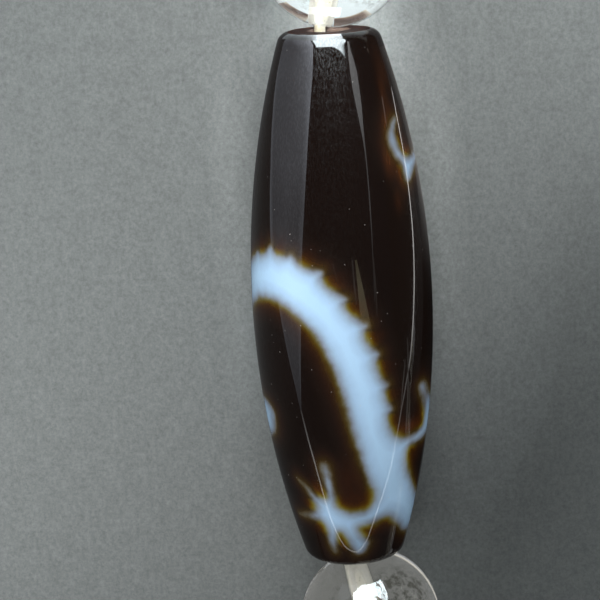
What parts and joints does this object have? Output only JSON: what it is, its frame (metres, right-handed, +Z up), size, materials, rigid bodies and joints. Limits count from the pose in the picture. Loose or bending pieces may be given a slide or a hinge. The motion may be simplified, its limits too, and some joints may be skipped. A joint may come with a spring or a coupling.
{
  "type": "dzi bead bracelet",
  "caption": "Elastic bracelet of clear round beads with one long barrel-shaped dark agate bead, banded white, at the front.",
  "frame": {"origin": "middle of the bracelet's outline, on the surface that it lies on", "axes": "+X along the long barrel-shaped bead and its hole, +Y from that bead to the back of the loop, +Z up, square to the loop's plane"},
  "size_m": [0.0866, 0.058, 0.0128],
  "materials": {
    "dzi_agate": "polished",
    "clear_crystal": "polished",
    "elastic": "satin"
  },
  "bodies": {
    "root": {"dzi_bead": "dzi_agate", "crystal_bead_01": "clear_crystal", "crystal_bead_02": "clear_crystal", "crystal_bead_03": "clear_crystal", "crystal_bead_04": "clear_crystal", "crystal_bead_05": "clear_crystal", "crystal_bead_06": "clear_crystal", "crystal_bead_07": "clear_crystal", "crystal_bead_08": "clear_crystal", "crystal_bead_09": "clear_crystal", "crystal_bead_10": "clear_crystal", "crystal_bead_11": "clear_crystal", "crystal_bead_12": "clear_crystal", "crystal_bead_13": "clear_crystal", "crystal_bead_14": "clear_crystal", "crystal_bead_15": "clear_crystal", "crystal_bead_16": "clear_crystal", "elastic_cord": "elastic"}
  },
  "joints": []
}
